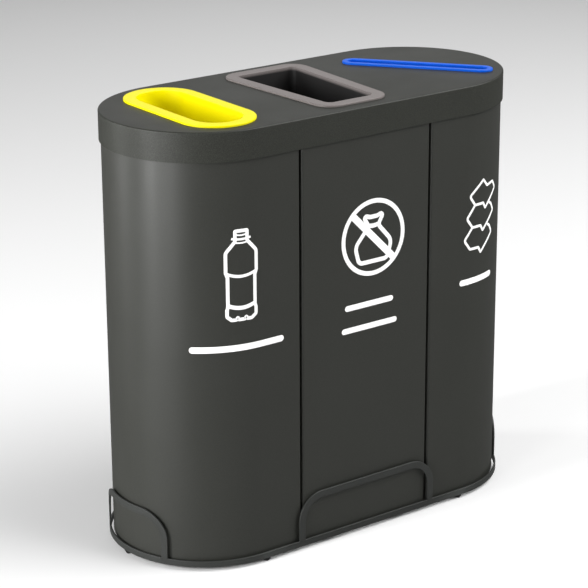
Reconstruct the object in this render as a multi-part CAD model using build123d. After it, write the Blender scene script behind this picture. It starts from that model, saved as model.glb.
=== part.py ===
from build123d import *
from math import cos, radians, sin, sqrt
import os

# Three-stream sorting station: three sheet-steel bins stand in a low cradle of flat strip, under
# one common lid with three chutes. Millimetres, +Z up, the origin on the floor under the middle.
# +X runs along the station, -Y is its front.

os.makedirs("parts", exist_ok=True)

# ---------------------------------------------------------------- driving sizes: lid
LID_LENGTH = 920.0
LID_DEPTH = 400.0
LID_TOP = 903.0
LID_SKIRT = 60.0
LID_SHEET = 1.5
LID_EDGE_RADIUS = 3.0
RIB_SIZE = 20.0
RIB_SHEET = 2.0
BUFFER_RADIUS = 6.0
BUFFER_HEIGHT = 4.2

# ---------------------------------------------------------------- driving sizes: chutes
CHUTE_RISE = 4.2
CHUTE_SHEET = 2.0
CHUTE_DEPTH = 88.0
CHUTE_LIP = 1.4
CUTOUT_CLEARANCE = 1.5
END_CHUTE_OFFSET = 121.7
YELLOW_LENGTH = 341.0
YELLOW_WIDTH = 156.0
YELLOW_RIM = 26.0
GREY_LENGTH = 344.0
GREY_WIDTH_BACK = 202.0
GREY_WIDTH_FRONT = 162.0
GREY_RIM = 26.0
GREY_CORNER = 40.0
BLUE_LENGTH = 320.0
BLUE_WIDTH = 47.0
BLUE_RIM = 11.5
BLUE_TURN = 38.4
STUD_RADIUS = 1.5
STUD_LENGTH = 18.0
NUT_FLATS = 5.5
NUT_HEIGHT = 2.4
WASHER_RADIUS = 3.5
WASHER_HEIGHT = 0.5
THREAD_CLEARANCE = 0.05
STUD_HOLE_CLEARANCE = 0.5

# ---------------------------------------------------------------- driving sizes: bins
BIN_SHEET = 1.5
BIN_FRAME_GAP = 5.0
BIN_GAP = 5.6
BIN_GAP_X = 162.5
BIN_BEND = 4.0
LID_OVERHANG = 4.0
RETURN_FLANGE = 22.0
RIM_FLANGE = 14.0
RIM_LEG = 20.0
RIM_SHEET = 2.0
FLOOR_LIP = 18.0
BAG_WIRE_RADIUS = 3.0
BAG_WIRE_STANDOFF = 7.0
BAG_WIRE_CORNER = 16.0
BAG_RING_DROP = 45.0
BRACKET_WIDTH = 20.0
BRACKET_LEG = 18.0
BRACKET_SHEET = 2.0
LABEL_SHEET = 0.3

# ---------------------------------------------------------------- driving sizes: cradle
STRIP_THICK = 4.0
STRIP_HEIGHT = 13.0
LOOP_HEIGHT = 111.0
LOOP_BAR = 14.5
SIDE_LOOP_LENGTH = 350.0
END_LOOP_HALF_ANGLE = 32.0
LOOP_CORNER = 58.0
BAR_THICK = 4.0
LONG_BAR_WIDTH = 40.0
CROSS_BAR_WIDTH = 30.0
CROSS_BAR_SETBACK = 7.0
INNER_CROSS_BAR_X = 92.0
FOOT_HEIGHT = 8.0
FOOT_TOP_RADIUS = 9.0
FOOT_BOTTOM_RADIUS = 6.0

# ---------------------------------------------------------------- fits
REST_GAP = 0.3      # between pieces that only stand on each other
SLIP = 0.1          # between sheets that are spot-welded inside each other

# ---------------------------------------------------------------- sizes worked out from those
END_CENTRE = (LID_LENGTH - LID_DEPTH) / 2
LID_RADIUS = LID_DEPTH / 2
BIN_RADIUS = LID_RADIUS - LID_OVERHANG
STRIP_INNER = BIN_RADIUS + BIN_FRAME_GAP
STRIP_OUTER = STRIP_INNER + STRIP_THICK
OUTER_CROSS_BAR_X = END_CENTRE - CROSS_BAR_SETBACK
BIN_BOTTOM = FOOT_HEIGHT + BAR_THICK + REST_GAP
LID_UNDER = LID_TOP - LID_SHEET
BIN_TOP = LID_UNDER - BUFFER_HEIGHT - REST_GAP
END_BIN_SIDE = BIN_GAP_X + BIN_GAP / 2
MIDDLE_BIN_SIDE = BIN_GAP_X - BIN_GAP / 2
PANEL_INSET = 2 * BIN_SHEET + SLIP
WALL_INSET = BIN_SHEET + SLIP
CHUTE_TOP = LID_TOP + CHUTE_RISE
END_CHUTE_X = END_BIN_SIDE + END_CHUTE_OFFSET


def slab(outline, low, high):
    """A plan outline raised between two heights."""
    return extrude(Pos(0, 0, low) * outline, amount=high - low)


def stadium(radius):
    """The station's plan shape at a given end radius."""
    return SlotCenterToCenter(2 * END_CENTRE, 2 * radius)


def turned_slot(length, width, x, turn):
    """A round-ended slot along Y about (x, 0), turned anticlockwise."""
    return Pos(x, 0) * Rot(0, 0, 90 + turn) * SlotOverall(length, width)


# ================================================================ cradle

def side_band(side):
    """Straight strip with its retaining loop, at the front (-1) or the back (+1)."""
    strip = Pos(0, FOOT_HEIGHT + STRIP_HEIGHT / 2) * Rectangle(2 * END_CENTRE, STRIP_HEIGHT)
    loop_top = FOOT_HEIGHT + LOOP_HEIGHT
    loop = loop_outline(SIDE_LOOP_LENGTH / 2, loop_top, LOOP_CORNER)
    window = loop_outline(SIDE_LOOP_LENGTH / 2 - LOOP_BAR, loop_top - LOOP_BAR, LOOP_CORNER - LOOP_BAR)
    face = strip + (loop - window - Pos(0, FOOT_HEIGHT) * Rectangle(LID_LENGTH, 2 * STRIP_HEIGHT))
    near_face = -STRIP_OUTER if side < 0 else STRIP_INNER
    return Pos(0, near_face, 0) * Rot(90, 0, 0) * extrude(face, amount=-STRIP_THICK)


def loop_outline(half_length, top, corner):
    """An arch from the floor line up: square at the bottom, rounded at its two top corners."""
    arch = Pos(0, top / 2) * Rectangle(2 * half_length, top)
    return fillet(arch.vertices().group_by(Axis.Y)[-1], corner)


def end_band():
    """Strip rolled round the right end, with its loop."""
    ring = stadium(STRIP_OUTER) - stadium(STRIP_INNER)
    ring &= Pos(END_CENTRE + STRIP_OUTER / 2, 0) * Rectangle(STRIP_OUTER, 2 * STRIP_OUTER)
    tall = slab(ring, FOOT_HEIGHT, FOOT_HEIGHT + LOOP_HEIGHT)
    strip = Pos(0, FOOT_HEIGHT + STRIP_HEIGHT / 2) * Rectangle(2 * STRIP_OUTER, STRIP_HEIGHT)
    loop_top = FOOT_HEIGHT + LOOP_HEIGHT
    half_loop = STRIP_OUTER * sin(radians(END_LOOP_HALF_ANGLE))
    loop = loop_outline(half_loop, loop_top, LOOP_CORNER)
    post = LOOP_BAR * cos(radians(END_LOOP_HALF_ANGLE))
    window = loop_outline(half_loop - post, loop_top - LOOP_BAR, LOOP_CORNER - LOOP_BAR)
    face = strip + (loop - window - Pos(0, FOOT_HEIGHT) * Rectangle(2 * STRIP_OUTER, 2 * STRIP_HEIGHT))
    return tall & extrude(Plane.YZ * face, amount=LID_LENGTH)


def long_bar():
    """Flat bar under the three bins, ends cut to the strip's curve."""
    bar = Rectangle(LID_LENGTH, LONG_BAR_WIDTH) & stadium(STRIP_INNER)
    return slab(bar, FOOT_HEIGHT, FOOT_HEIGHT + BAR_THICK)


def cross_bars():
    """Short flat bars between the long bar and the front and back strips."""
    length = STRIP_INNER - LONG_BAR_WIDTH / 2
    middle_y = LONG_BAR_WIDTH / 2 + length / 2
    bars = []
    for x in (-OUTER_CROSS_BAR_X, -INNER_CROSS_BAR_X, INNER_CROSS_BAR_X, OUTER_CROSS_BAR_X):
        for side in (-1, 1):
            bar = Pos(x, side * middle_y) * Rectangle(CROSS_BAR_WIDTH, length) & stadium(STRIP_INNER)
            bars.append(slab(bar, FOOT_HEIGHT, FOOT_HEIGHT + BAR_THICK))
    return Compound(children=bars)


def feet():
    """Tapered rubber glides under the strip, at the ends of the long bar and the outer cross bars."""
    inset = STRIP_OUTER - FOOT_TOP_RADIUS
    spots = [(side * (END_CENTRE + inset), 0) for side in (-1, 1)]
    spots += [(x, side * inset) for x in (-OUTER_CROSS_BAR_X, OUTER_CROSS_BAR_X) for side in (-1, 1)]
    glide = Cone(FOOT_BOTTOM_RADIUS, FOOT_TOP_RADIUS, FOOT_HEIGHT, align=(Align.CENTER, Align.CENTER, Align.MIN))
    return Compound(children=[Pos(x, y, 0) * glide for x, y in spots])


# ================================================================ end bins

def end_bin_outline(inset, side_inset=None, corner=None):
    """Half-round plan of the right bin, drawn in by inset, and by side_inset on its flat side."""
    side_inset = inset if side_inset is None else side_inset
    bend = max(BIN_BEND - inset, 0.5) if corner is None else corner
    radius = BIN_RADIUS - inset
    span = END_CENTRE - END_BIN_SIDE - side_inset
    block = Pos(END_CENTRE, 0) * RectangleRounded(2 * span, 2 * radius, bend)
    block &= Pos(END_CENTRE - span / 2, 0) * Rectangle(span, 2 * radius)
    round_end = Pos(END_CENTRE, 0) * Circle(radius)
    round_end &= Pos(END_CENTRE + radius / 2, 0) * Rectangle(radius, 2 * radius)
    return block + round_end


def end_bin_wrap():
    """Rolled sheet: front, round end and back, turned in at its two vertical edges."""
    skin = slab(end_bin_outline(0) - end_bin_outline(BIN_SHEET), BIN_BOTTOM, BIN_TOP)
    window = 2 * (BIN_RADIUS - RETURN_FLANGE)
    open_side = Pos(END_BIN_SIDE, 0, BIN_TOP / 2) * Box(4 * BIN_SHEET, window, 2 * BIN_TOP)
    return skin - open_side


def side_sheet_half_width():
    """Half the width of a flat side sheet that lies behind the return flanges."""
    return BIN_RADIUS - max(BIN_BEND, BIN_SHEET + SLIP) - SLIP


def end_bin_side():
    """Flat sheet behind the wrap's return flanges, facing the middle bin."""
    x = END_BIN_SIDE + 1.5 * BIN_SHEET
    sheet = Pos(x, 0) * Rectangle(BIN_SHEET, 2 * side_sheet_half_width())
    return slab(sheet, BIN_BOTTOM, BIN_TOP)


def floor_pan(outline, inner):
    """A floor with an upstand all round, welded inside the walls."""
    pan = slab(outline, BIN_BOTTOM, BIN_BOTTOM + FLOOR_LIP)
    return pan - slab(inner, BIN_BOTTOM + BIN_SHEET, BIN_BOTTOM + FLOOR_LIP)


def rim_frame(outline, inner, mouth):
    """An angle frame: a leg against the walls and a flange that makes the bin's mouth."""
    leg = slab(outline - inner, BIN_TOP - RIM_LEG, BIN_TOP)
    flange = slab(outline - mouth, BIN_TOP - RIM_SHEET, BIN_TOP)
    return leg + flange


def end_bin_floor():
    outer = end_bin_outline(WALL_INSET, PANEL_INSET, BIN_BEND)
    inner = end_bin_outline(WALL_INSET + BIN_SHEET, PANEL_INSET + BIN_SHEET, BIN_BEND)
    return floor_pan(outer, inner)


def end_bin_rim():
    outer = end_bin_outline(WALL_INSET, PANEL_INSET, BIN_BEND)
    inner = end_bin_outline(WALL_INSET + RIM_SHEET, PANEL_INSET + RIM_SHEET, BIN_BEND)
    mouth = end_bin_outline(WALL_INSET + RIM_FLANGE, PANEL_INSET + RIM_FLANGE, BIN_BEND)
    return rim_frame(outer, inner, mouth)


def hoop(outline):
    """Round wire bent along a plan outline, at the bag ring's height."""
    path = Pos(0, 0, BIN_TOP - BAG_RING_DROP) * outline.face().outer_wire()
    section = Plane(origin=path @ 0, z_dir=path % 0) * Circle(BAG_WIRE_RADIUS)
    return sweep(section, path=path, transition=Transition.ROUND)


def end_bag_ring():
    standoff = BIN_SHEET + BAG_WIRE_STANDOFF
    side_standoff = PANEL_INSET + BAG_WIRE_STANDOFF
    return hoop(end_bin_outline(standoff, side_standoff, BAG_WIRE_CORNER))


def ring_bracket(x, y, turn):
    """Angle bracket on a wall at (x, y), its shelf reaching in along the turned +X."""
    shelf_top = BIN_TOP - BAG_RING_DROP - BAG_WIRE_RADIUS
    wall = Pos(BRACKET_SHEET / 2, 0, shelf_top - BRACKET_LEG / 2) * Box(BRACKET_SHEET, BRACKET_WIDTH, BRACKET_LEG)
    reach = BAG_WIRE_STANDOFF + BAG_WIRE_RADIUS
    shelf = Pos(reach / 2, 0, shelf_top - BRACKET_SHEET / 2) * Box(reach, BRACKET_WIDTH, BRACKET_SHEET)
    return Pos(x, y, 0) * Rot(0, 0, turn) * (wall + shelf)


def end_ring_brackets():
    """Four brackets: round end, front, back and flat side."""
    wall = BIN_RADIUS - BIN_SHEET
    sagitta = wall - sqrt(wall ** 2 - (BRACKET_WIDTH / 2) ** 2)
    quarter_x = (END_BIN_SIDE + END_CENTRE) / 2
    brackets = [
        ring_bracket(END_CENTRE + wall - sagitta, 0, 180),
        ring_bracket(quarter_x, -wall, 90),
        ring_bracket(quarter_x, wall, -90),
        ring_bracket(END_BIN_SIDE + 2 * BIN_SHEET, 0, 0),
    ]
    return Compound(children=brackets)


# ================================================================ middle bin

def middle_outline(inset, side_inset=None, corner=None):
    """Rectangular plan of the middle bin, drawn in by inset, and by side_inset on its sides."""
    side_inset = inset if side_inset is None else side_inset
    bend = max(BIN_BEND - inset, 0.5) if corner is None else corner
    return RectangleRounded(2 * (MIDDLE_BIN_SIDE - side_inset), 2 * (BIN_RADIUS - inset), bend)


def middle_bin_panel(side):
    """Front (-1) or back (+1) panel, turned in at both vertical edges."""
    skin = slab(middle_outline(0) - middle_outline(BIN_SHEET), BIN_BOTTOM, BIN_TOP)
    depth = RETURN_FLANGE
    keep = Pos(0, side * (BIN_RADIUS - depth / 2), BIN_TOP / 2) * Box(LID_LENGTH, depth, 2 * BIN_TOP)
    return skin & keep


def middle_bin_side(side):
    """Left (-1) or right (+1) flat sheet behind the panels' return flanges."""
    x = side * (MIDDLE_BIN_SIDE - 1.5 * BIN_SHEET)
    sheet = Pos(x, 0) * Rectangle(BIN_SHEET, 2 * side_sheet_half_width())
    return slab(sheet, BIN_BOTTOM, BIN_TOP)


def middle_bin_floor():
    outer = middle_outline(WALL_INSET, PANEL_INSET, BIN_BEND)
    inner = middle_outline(WALL_INSET + BIN_SHEET, PANEL_INSET + BIN_SHEET, BIN_BEND)
    return floor_pan(outer, inner)


def middle_bin_rim():
    outer = middle_outline(WALL_INSET, PANEL_INSET, BIN_BEND)
    inner = middle_outline(WALL_INSET + RIM_SHEET, PANEL_INSET + RIM_SHEET, BIN_BEND)
    mouth = middle_outline(WALL_INSET + RIM_FLANGE, PANEL_INSET + RIM_FLANGE, BIN_BEND)
    return rim_frame(outer, inner, mouth)


def middle_bag_ring():
    standoff = BIN_SHEET + BAG_WIRE_STANDOFF
    side_standoff = PANEL_INSET + BAG_WIRE_STANDOFF
    return hoop(middle_outline(standoff, side_standoff, BAG_WIRE_CORNER))


def middle_ring_brackets():
    wall = BIN_RADIUS - BIN_SHEET
    side = MIDDLE_BIN_SIDE - 2 * BIN_SHEET
    brackets = [
        ring_bracket(0, -wall, 90),
        ring_bracket(0, wall, -90),
        ring_bracket(-side, 0, 0),
        ring_bracket(side, 0, 180),
    ]
    return Compound(children=brackets)


# ================================================================ labels

LEFT_LABEL_BOX = (-396.0, -204.0, 452.0, 712.0)
MIDDLE_LABEL_BOX = (-66.0, 100.0, 430.0, 714.0)
RIGHT_LABEL_BOX = (244.0, 364.0, 468.0, 698.0)


def label(outline_skin, outline_wall, box):
    """Thin vinyl on the front of a bin, between two heights, following the wall's curve."""
    x_low, x_high, low, high = box
    skin = slab(outline_skin - outline_wall, low, high)
    front = BIN_RADIUS
    keep = Pos((x_low + x_high) / 2, -front, (low + high) / 2) * Box(x_high - x_low, front, high - low)
    return skin & keep


def end_label(box):
    return label(end_bin_outline(-LABEL_SHEET), end_bin_outline(0), box)


def middle_label():
    return label(middle_outline(-LABEL_SHEET), middle_outline(0), MIDDLE_LABEL_BOX)


# ================================================================ chutes

def yellow_outline(inset=0.0):
    return turned_slot(YELLOW_LENGTH - 2 * inset, YELLOW_WIDTH - 2 * inset, -END_CHUTE_X, 0)


def blue_outline(inset=0.0):
    return turned_slot(BLUE_LENGTH - 2 * inset, BLUE_WIDTH - 2 * inset, END_CHUTE_X, BLUE_TURN)


def grey_outline(inset=0.0):
    """Rounded trapezoid, wider at the back."""
    half = GREY_LENGTH / 2
    lean = (GREY_WIDTH_BACK - GREY_WIDTH_FRONT) / 2 / GREY_LENGTH
    side_inset = inset * sqrt(1 + lean ** 2)
    back = GREY_WIDTH_BACK / 2 - side_inset - lean * inset
    front = GREY_WIDTH_FRONT / 2 - side_inset + lean * inset
    half_y = half - inset
    plan = Polygon((-back, half_y), (-front, -half_y), (front, -half_y), (back, half_y), align=None)
    return fillet(plan.vertices(), max(GREY_CORNER - inset, CHUTE_SHEET + 4))


def chute(outline, rim):
    """Raised rim with a turned-down edge, and a throat that hangs from its inner edge."""
    rim_block = slab(outline(0), LID_TOP, CHUTE_TOP)
    rim_block = fillet(rim_block.faces().sort_by(Axis.Z)[-1].edges(), CHUTE_LIP)
    hollow = slab(outline(CHUTE_SHEET) - outline(rim - CHUTE_SHEET), LID_TOP, CHUTE_TOP - CHUTE_SHEET)
    throat = slab(outline(rim - CHUTE_SHEET), LID_TOP - CHUTE_DEPTH, LID_TOP)
    body = rim_block - hollow + throat - slab(outline(rim), LID_TOP - CHUTE_DEPTH, CHUTE_TOP)
    top_face = body.faces().sort_by(Axis.Z)[-1]
    return fillet(top_face.inner_wires().edges(), CHUTE_LIP)


def yellow_chute():
    return chute(yellow_outline, YELLOW_RIM)


def grey_chute():
    return chute(grey_outline, GREY_RIM)


def blue_chute():
    return chute(blue_outline, BLUE_RIM)


def stud_spots():
    """Where the chutes' weld studs stand, on the middle line of each rim."""
    spots = []
    yellow_line = YELLOW_WIDTH / 2 - YELLOW_RIM / 2
    yellow_step = (YELLOW_LENGTH - YELLOW_WIDTH) / 3
    for side in (-1, 1):
        for y in (-yellow_step, yellow_step):
            spots.append((-END_CHUTE_X + side * yellow_line, y))
    grey_y = GREY_LENGTH / 4
    for y in (-grey_y, grey_y):
        half_width = (GREY_WIDTH_BACK + GREY_WIDTH_FRONT) / 4
        half_width += (GREY_WIDTH_BACK - GREY_WIDTH_FRONT) / 2 / GREY_LENGTH * y
        for side in (-1, 1):
            spots.append((side * (half_width - GREY_RIM / 2), y))
    turn = radians(BLUE_TURN)
    blue_line = BLUE_WIDTH / 2 - BLUE_RIM / 2
    blue_step = (BLUE_LENGTH - BLUE_WIDTH) / 3
    for side in (-1, 1):
        for along in (-blue_step, blue_step):
            x = END_CHUTE_X + side * blue_line * cos(turn) - along * sin(turn)
            y = side * blue_line * sin(turn) + along * cos(turn)
            spots.append((x, y))
    return spots


def chute_studs():
    """Threaded weld studs under the chutes' rims, through the lid."""
    top = CHUTE_TOP - CHUTE_SHEET
    studs = [Pos(x, y, 0) * slab(Circle(STUD_RADIUS), top - STUD_LENGTH, top) for x, y in stud_spots()]
    return Compound(children=studs)


def chute_nuts():
    """A nut with its washer on each stud, against the lid's underside."""
    bore = Circle(STUD_RADIUS + THREAD_CLEARANCE)
    across_corners = NUT_FLATS / 2 / cos(radians(30))
    washer = slab(Circle(WASHER_RADIUS) - bore, LID_UNDER - WASHER_HEIGHT, LID_UNDER)
    nut_top = LID_UNDER - WASHER_HEIGHT
    nut = slab(RegularPolygon(across_corners, 6) - bore, nut_top - NUT_HEIGHT, nut_top)
    return Compound(children=[Pos(x, y, 0) * (washer + nut) for x, y in stud_spots()])


# ================================================================ lid

def lid_shell():
    """Top sheet with a rounded edge and a skirt, cut out for the chutes and their studs."""
    outside = slab(stadium(LID_RADIUS), LID_TOP - LID_SKIRT, LID_TOP)
    outside = fillet(outside.faces().sort_by(Axis.Z)[-1].edges(), LID_EDGE_RADIUS)
    inside = slab(stadium(LID_RADIUS - LID_SHEET), LID_TOP - LID_SKIRT, LID_UNDER)
    inside = fillet(inside.faces().sort_by(Axis.Z)[-1].edges(), LID_EDGE_RADIUS - LID_SHEET)
    shell = outside - inside
    for outline, rim in ((yellow_outline, YELLOW_RIM), (grey_outline, GREY_RIM), (blue_outline, BLUE_RIM)):
        shell -= slab(outline(rim - CHUTE_SHEET - CUTOUT_CLEARANCE), LID_UNDER - LID_SHEET, LID_TOP)
    for x, y in stud_spots():
        hole = Pos(x, y) * Circle(STUD_RADIUS + STUD_HOLE_CLEARANCE)
        shell -= slab(hole, LID_UNDER - LID_SHEET, LID_TOP)
    return shell


def rib_x():
    """The inner face of each lid rib, between the grey chute and the middle bin's mouth."""
    mouth = MIDDLE_BIN_SIDE - PANEL_INSET - RIM_FLANGE
    return mouth - RIB_SIZE - 2 * BIN_FRAME_GAP


def lid_ribs():
    """Two angle stiffeners across the lid, welded to its underside."""
    mouth_half = BIN_RADIUS - WALL_INSET - RIM_FLANGE
    length = 2 * (mouth_half - 2 * BIN_FRAME_GAP)
    ribs = []
    for side in (-1, 1):
        flange_x = side * (rib_x() + RIB_SIZE / 2)
        flange = Pos(flange_x, 0, LID_UNDER - RIB_SHEET / 2) * Box(RIB_SIZE, length, RIB_SHEET)
        leg_x = side * (rib_x() + RIB_SIZE - RIB_SHEET / 2)
        leg = Pos(leg_x, 0, LID_UNDER - RIB_SIZE / 2) * Box(RIB_SHEET, length, RIB_SIZE)
        ribs.append(flange + leg)
    return Compound(children=ribs)


def lid_buffers():
    """Rubber discs under the lid, over the middle of each rim's flange."""
    end_line = BIN_RADIUS - WALL_INSET - RIM_FLANGE / 2
    side_line = END_BIN_SIDE + PANEL_INSET + RIM_FLANGE / 2
    middle_line = MIDDLE_BIN_SIDE - PANEL_INSET - RIM_FLANGE / 2
    spots = [(0, -end_line), (0, end_line), (-middle_line, 0), (middle_line, 0)]
    for side in (-1, 1):
        quarter_x = side * (END_BIN_SIDE + END_CENTRE) / 2
        spots += [(side * (END_CENTRE + end_line), 0), (side * side_line, 0)]
        spots += [(quarter_x, -end_line), (quarter_x, end_line)]
    disc = slab(Circle(BUFFER_RADIUS), LID_UNDER - BUFFER_HEIGHT, LID_UNDER)
    return Compound(children=[Pos(x, y, 0) * disc for x, y in spots])


# ================================================================ writing the pieces

def both_ends(name, piece):
    """The right piece as drawn and the left one mirrored."""
    return {"right_" + name: piece, "left_" + name: mirror(piece, about=Plane.YZ)}


pieces = {
    "front_band": side_band(-1),
    "rear_band": side_band(1),
    "long_bar": long_bar(),
    "cross_bars": cross_bars(),
    "feet": feet(),
    "middle_bin_front": middle_bin_panel(-1),
    "middle_bin_rear": middle_bin_panel(1),
    "middle_bin_left_side": middle_bin_side(-1),
    "middle_bin_right_side": middle_bin_side(1),
    "middle_bin_floor": middle_bin_floor(),
    "middle_bin_rim": middle_bin_rim(),
    "middle_bag_ring": middle_bag_ring(),
    "middle_ring_brackets": middle_ring_brackets(),
    "middle_label": middle_label(),
    "left_label": mirror(end_label((-LEFT_LABEL_BOX[1], -LEFT_LABEL_BOX[0]) + LEFT_LABEL_BOX[2:]), about=Plane.YZ),
    "right_label": end_label(RIGHT_LABEL_BOX),
    "lid_shell": lid_shell(),
    "lid_ribs": lid_ribs(),
    "lid_buffers": lid_buffers(),
    "yellow_chute": yellow_chute(),
    "grey_chute": grey_chute(),
    "blue_chute": blue_chute(),
    "chute_studs": chute_studs(),
    "chute_nuts": chute_nuts(),
}
pieces |= both_ends("end_band", end_band())
pieces |= both_ends("bin_wrap", end_bin_wrap())
pieces |= both_ends("bin_side", end_bin_side())
pieces |= both_ends("bin_floor", end_bin_floor())
pieces |= both_ends("bin_rim", end_bin_rim())
pieces |= both_ends("bag_ring", end_bag_ring())
pieces |= both_ends("ring_brackets", end_ring_brackets())

for node, piece in pieces.items():
    export_step(piece, "parts/" + node + ".step")
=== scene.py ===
import math

import bmesh
import bpy
from mathutils import Matrix, Vector


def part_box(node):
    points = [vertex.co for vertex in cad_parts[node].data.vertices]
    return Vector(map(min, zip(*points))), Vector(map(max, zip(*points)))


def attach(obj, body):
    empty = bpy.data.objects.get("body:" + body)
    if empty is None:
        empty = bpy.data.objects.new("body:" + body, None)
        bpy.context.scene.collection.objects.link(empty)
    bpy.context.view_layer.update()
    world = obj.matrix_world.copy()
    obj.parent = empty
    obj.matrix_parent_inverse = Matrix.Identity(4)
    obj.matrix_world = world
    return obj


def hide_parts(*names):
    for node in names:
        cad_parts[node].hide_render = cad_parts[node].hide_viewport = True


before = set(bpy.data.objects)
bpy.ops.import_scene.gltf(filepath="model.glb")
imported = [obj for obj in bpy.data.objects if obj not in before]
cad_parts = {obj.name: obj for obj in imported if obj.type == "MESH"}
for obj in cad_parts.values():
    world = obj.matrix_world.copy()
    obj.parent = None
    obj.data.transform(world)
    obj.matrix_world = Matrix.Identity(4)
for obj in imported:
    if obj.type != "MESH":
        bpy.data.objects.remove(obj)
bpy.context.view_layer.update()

MM = 0.001
SQUARE = ((-1, -1), (1, -1), (1, 1), (-1, 1))

# ---------------------------------------------------------------- cradle bands
# Four lengths of 13 x 4 mm flat steel strip, the two end ones rolled to the stand's round ends,
# each with a low retaining loop. Cut, rolled and butt-welded, then powder coated in anthracite.

LOOP_BAR = 14.5
LOOP_CORNER = 58.0
STRIP_HEIGHT = 13.0
SIDE_LOOP_HALF = 175.0
END_LOOP_ANGLE = 32.0
BAND_EDGE = 0.6
ARC_STEPS = 10
ROLL_STEP = 3


def linear(hex_colour):
    """An sRGB hex colour as the linear one that a shader takes."""
    parts = [int(hex_colour[i:i + 2], 16) / 255 for i in (1, 3, 5)]
    return [c / 12.92 if c <= 0.04045 else ((c + 0.055) / 1.055) ** 2.4 for c in parts] + [1.0]


def add(tree, kind, inputs=None, **settings):
    """Adds a node: settings are its properties, inputs its values or the nodes and sockets that feed it."""
    node = tree.nodes.new(kind)
    for name, value in settings.items():
        setattr(node, name, value)
    for name, value in (inputs or {}).items():
        for one in value if isinstance(value, list) and isinstance(value[0], bpy.types.Node) else [value]:
            one = one.outputs[0] if isinstance(one, bpy.types.Node) else one
            if isinstance(one, bpy.types.NodeSocket):
                tree.links.new(one, node.inputs[name])
            else:
                node.inputs[name].default_value = one
    return node


def powder_coat(name, colour, fleck, roughness, gloss=0.5, grain=1.3, peel=0.3, rub=None,
                fleck_share=0.6, throat=None):
    """Baked polyester powder on steel: fine orange peel, faint flecks, a rubbed tone on its edges, and
    under a height throat[0] a painted shade, the darker colour throat[1], standing in for the shade inside a
    chute's throat."""
    material = bpy.data.materials.new(name)
    material.use_nodes = True
    tree = material.node_tree
    tree.nodes.clear()
    place = add(tree, "ShaderNodeTexCoord").outputs["Object"]
    # the real grain is about 0.3 mm, and is drawn coarser so that it shows
    fine = add(tree, "ShaderNodeTexNoise", {"Vector": place, "Scale": 1 / (grain * MM), "Detail": 3.0,
                                            "Roughness": 0.6})
    peel_waves = add(tree, "ShaderNodeTexNoise", {"Vector": place, "Scale": 1 / (7 * MM), "Detail": 2.0})
    patches = add(tree, "ShaderNodeTexNoise", {"Vector": place, "Scale": 1 / (160 * MM), "Detail": 3.0})
    flecks = add(tree, "ShaderNodeMapRange", {"Value": fine, "From Min": 0.42, "From Max": 0.66,
                                              "To Min": 0.0, "To Max": fleck_share})
    skin = add(tree, "ShaderNodeMix", {"Factor": flecks, "A": linear(colour), "B": linear(fleck)},
               data_type="RGBA")
    tone = skin.outputs["Result"]
    if rub:
        bend = add(tree, "ShaderNodeNewGeometry").outputs["Pointiness"]
        worn = add(tree, "ShaderNodeMapRange", {"Value": bend, "From Min": 0.53, "From Max": 0.62,
                                                "To Min": 0.0, "To Max": 0.55})
        patchy = add(tree, "ShaderNodeMath", {0: worn, 1: patches}, operation="MULTIPLY")
        rubbed = add(tree, "ShaderNodeMix", {"Factor": patchy, "A": tone, "B": linear(rub)},
                     data_type="RGBA")
        tone = rubbed.outputs["Result"]
    # painted shade: below throat[0] the coat fades to the dark colour throat[1], in place of the shade down
    # a chute's throat
    if throat:
        height = add(tree, "ShaderNodeSeparateXYZ", {"Vector": place}).outputs["Z"]
        below = add(tree, "ShaderNodeMapRange", {"Value": height, "From Min": (throat[0] - 5) * MM,
                                                 "From Max": throat[0] * MM, "To Min": 1.0, "To Max": 0.0})
        painted_throat_shade = add(tree, "ShaderNodeMix", {"Factor": below, "A": tone, "B": linear(throat[1])},
                    data_type="RGBA")
        tone = painted_throat_shade.outputs["Result"]
    sheen = add(tree, "ShaderNodeMapRange", {"Value": patches, "From Min": 0.3, "From Max": 0.7,
                                             "To Min": roughness - 0.03, "To Max": roughness + 0.04})
    waves = add(tree, "ShaderNodeBump", {"Height": peel_waves, "Strength": peel * 0.6,
                                         "Distance": 0.1 * MM})
    grit = add(tree, "ShaderNodeBump", {"Height": fine, "Strength": peel, "Distance": 0.06 * MM,
                                        "Normal": waves})
    shader = add(tree, "ShaderNodeBsdfPrincipled", {
        "Base Color": tone, "Roughness": sheen.outputs[0], "Normal": grit,
        "IOR": 1.5, "Specular IOR Level": gloss})
    add(tree, "ShaderNodeOutputMaterial", {"Surface": shader})
    return material


def rounded(*corners, closed=True):
    """The points of a path whose corners, (x, y, radius, steps), are rounded by arcs."""
    points = []
    for i, (x, y, radius, steps) in enumerate(corners):
        here = Vector((x, y))
        if radius <= 0 or (not closed and i in (0, len(corners) - 1)):
            points.append(here)
            continue
        back = (Vector(corners[i - 1][:2]) - here).normalized()
        on = (Vector(corners[(i + 1) % len(corners)][:2]) - here).normalized()
        half = back.angle(on) / 2
        centre = here + (back + on).normalized() * radius / math.sin(half)
        start = here + back * radius / math.tan(half) - centre
        turn = (math.pi - 2 * half) * (1 if back.cross(on) < 0 else -1)
        for k in range(steps + 1):
            point = centre + Matrix.Rotation(turn * k / steps, 2) @ start
            if not points or (point - points[-1]).length > 1e-4:
                points.append(point)
    if closed and (points[0] - points[-1]).length < 1e-4:
        points.pop()
    return points


def box_mm(node):
    """A CAD node's two corners in millimetres."""
    return [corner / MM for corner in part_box(node)]


def plain_mesh(obj):
    """The object's mesh with its modifiers worked in."""
    return bpy.data.meshes.new_from_object(obj.evaluated_get(bpy.context.evaluated_depsgraph_get()))


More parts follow.
